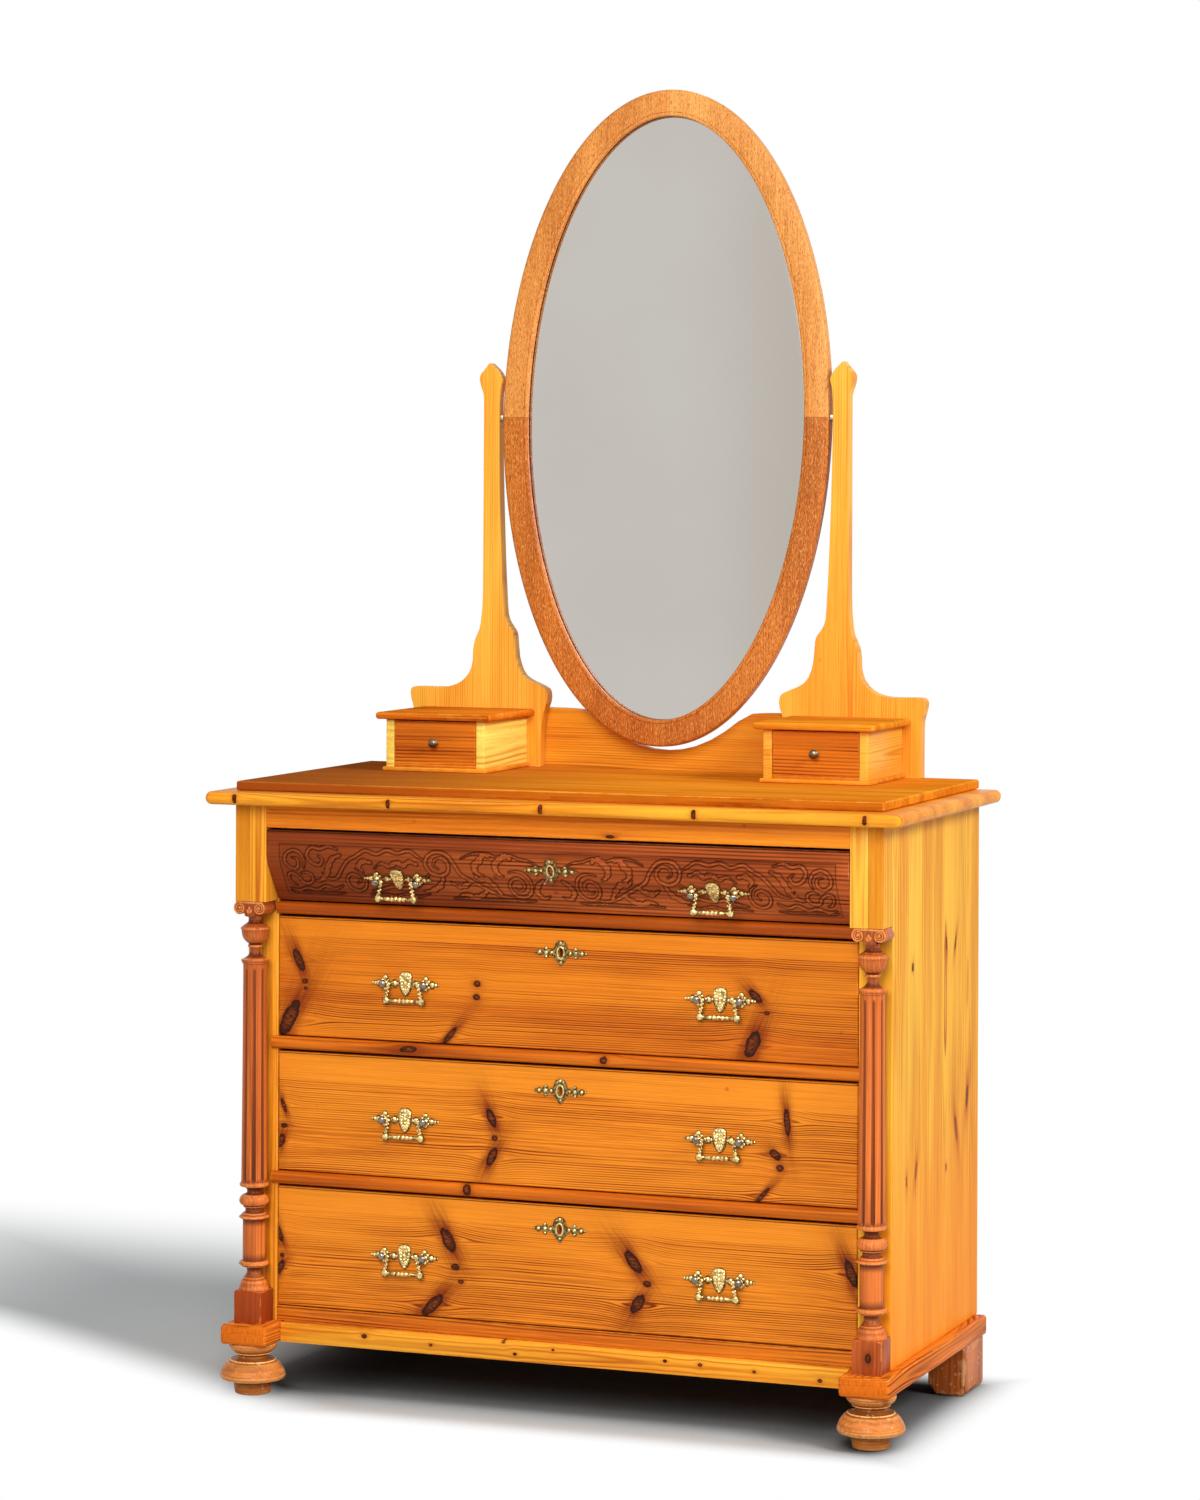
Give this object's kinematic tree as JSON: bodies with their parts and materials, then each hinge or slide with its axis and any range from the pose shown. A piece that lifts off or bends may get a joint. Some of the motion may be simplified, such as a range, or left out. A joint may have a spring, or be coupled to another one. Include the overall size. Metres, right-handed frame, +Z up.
{
  "type": "chest of drawers with mirror",
  "caption": "Pine dressing chest with wide drawers, fluted turned columns, bun feet, small jewel cases and an oval mirror that tilts between shaped uprights.",
  "frame": {"origin": "centre of the bounding box on the floor, between the feet", "axes": "+X to the chest's right as seen from the front, +Y to its back, +Z up"},
  "size_m": [1.05, 0.53, 1.9168],
  "materials": {
    "honey_pine": "waxed",
    "golden_pine": "waxed",
    "stained_pine": "waxed, dark stain",
    "turned_wood": "waxed",
    "veneered_frame": "waxed veneer",
    "raw_pine": "bare",
    "cast_brass": "worn polish",
    "bright_steel": "bright",
    "bronze": "dark patina",
    "silvered_glass": "polished"
  },
  "bodies": {
    "carcass": {"back_panel": "raw_pine", "base_frame": "honey_pine", "bottom_board": "honey_pine", "column_left": "turned_wood", "column_right": "turned_wood", "divider_1": "honey_pine", "divider_2": "honey_pine", "divider_3": "honey_pine", "face_frame": "honey_pine", "foot_back_left": "honey_pine", "foot_back_right": "honey_pine", "foot_front_left": "turned_wood", "foot_front_right": "turned_wood", "jewel_case_left": "honey_pine", "jewel_case_right": "honey_pine", "pivot_left": "bright_steel", "pivot_right": "bright_steel", "side_left": "golden_pine", "side_right": "golden_pine", "stand_backboard": "honey_pine", "top_board": "honey_pine", "top_moulding": "honey_pine", "upright_left": "golden_pine", "upright_right": "golden_pine"},
    "drawer_1": {"drawer_1_front": "stained_pine", "drawer_1_box": "raw_pine", "escutcheon_1": "cast_brass", "plate_1_left": "cast_brass", "plate_1_right": "cast_brass", "key_rod": "bright_steel"},
    "handle_1_left": {"bail_1_left": "cast_brass"},
    "handle_1_right": {"bail_1_right": "cast_brass"},
    "drawer_2": {"drawer_2_front": "honey_pine", "drawer_2_box": "raw_pine", "escutcheon_2": "cast_brass", "plate_2_left": "cast_brass", "plate_2_right": "cast_brass"},
    "handle_2_left": {"bail_2_left": "cast_brass"},
    "handle_2_right": {"bail_2_right": "cast_brass"},
    "drawer_3": {"drawer_3_front": "honey_pine", "drawer_3_box": "raw_pine", "escutcheon_3": "cast_brass", "plate_3_left": "cast_brass", "plate_3_right": "cast_brass"},
    "handle_3_left": {"bail_3_left": "cast_brass"},
    "handle_3_right": {"bail_3_right": "cast_brass"},
    "drawer_4": {"drawer_4_front": "honey_pine", "drawer_4_box": "raw_pine", "escutcheon_4": "cast_brass", "plate_4_left": "cast_brass", "plate_4_right": "cast_brass"},
    "handle_4_left": {"bail_4_left": "cast_brass"},
    "handle_4_right": {"bail_4_right": "cast_brass"},
    "jewel_left": {"jewel_drawer_left": "honey_pine", "jewel_knob_left": "bronze"},
    "jewel_right": {"jewel_drawer_right": "honey_pine", "jewel_knob_right": "bronze"},
    "mirror": {"mirror_frame": "veneered_frame", "mirror_glass": "silvered_glass", "mirror_backing": "raw_pine"}
  },
  "joints": [
    {"name": "drawer_1_slide", "type": "slide", "parent": "carcass", "child": "drawer_1", "axis": [0, -1, 0], "range_m": [0, 0.3]},
    {"name": "drawer_2_slide", "type": "slide", "parent": "carcass", "child": "drawer_2", "axis": [0, -1, 0], "range_m": [0, 0.3]},
    {"name": "drawer_3_slide", "type": "slide", "parent": "carcass", "child": "drawer_3", "axis": [0, -1, 0], "range_m": [0, 0.3]},
    {"name": "drawer_4_slide", "type": "slide", "parent": "carcass", "child": "drawer_4", "axis": [0, -1, 0], "range_m": [0, 0.3]},
    {"name": "jewel_left_slide", "type": "slide", "parent": "carcass", "child": "jewel_left", "axis": [0, -1, 0], "range_m": [0, 0.1]},
    {"name": "jewel_right_slide", "type": "slide", "parent": "carcass", "child": "jewel_right", "axis": [0, -1, 0], "range_m": [0, 0.1]},
    {"name": "mirror_tilt", "type": "hinge", "parent": "carcass", "child": "mirror", "pos_m": [0, 0.23553, 1.4206], "axis": [1, 0, 0], "continuous": true},
    {"name": "bail_1_left_swing", "type": "hinge", "parent": "drawer_1", "child": "handle_1_left", "pos_m": [-0.2395, -0.22317, 0.74974], "axis": [-1, 0, 0], "range_deg": [-40, 120]},
    {"name": "bail_1_right_swing", "type": "hinge", "parent": "drawer_1", "child": "handle_1_right", "pos_m": [0.2395, -0.22317, 0.74974], "axis": [-1, 0, 0], "range_deg": [-40, 120]},
    {"name": "bail_2_left_swing", "type": "hinge", "parent": "drawer_2", "child": "handle_2_left", "pos_m": [-0.2395, -0.19447, 0.6009], "axis": [-1, 0, 0], "range_deg": [-8, 165]},
    {"name": "bail_2_right_swing", "type": "hinge", "parent": "drawer_2", "child": "handle_2_right", "pos_m": [0.2395, -0.19447, 0.6009], "axis": [-1, 0, 0], "range_deg": [-8, 165]},
    {"name": "bail_3_left_swing", "type": "hinge", "parent": "drawer_3", "child": "handle_3_left", "pos_m": [-0.2395, -0.19447, 0.4049], "axis": [-1, 0, 0], "range_deg": [-8, 165]},
    {"name": "bail_3_right_swing", "type": "hinge", "parent": "drawer_3", "child": "handle_3_right", "pos_m": [0.2395, -0.19447, 0.4049], "axis": [-1, 0, 0], "range_deg": [-8, 165]},
    {"name": "bail_4_left_swing", "type": "hinge", "parent": "drawer_4", "child": "handle_4_left", "pos_m": [-0.2395, -0.19447, 0.2089], "axis": [-1, 0, 0], "range_deg": [-8, 165]},
    {"name": "bail_4_right_swing", "type": "hinge", "parent": "drawer_4", "child": "handle_4_right", "pos_m": [0.2395, -0.19447, 0.2089], "axis": [-1, 0, 0], "range_deg": [-8, 165]}
  ]
}
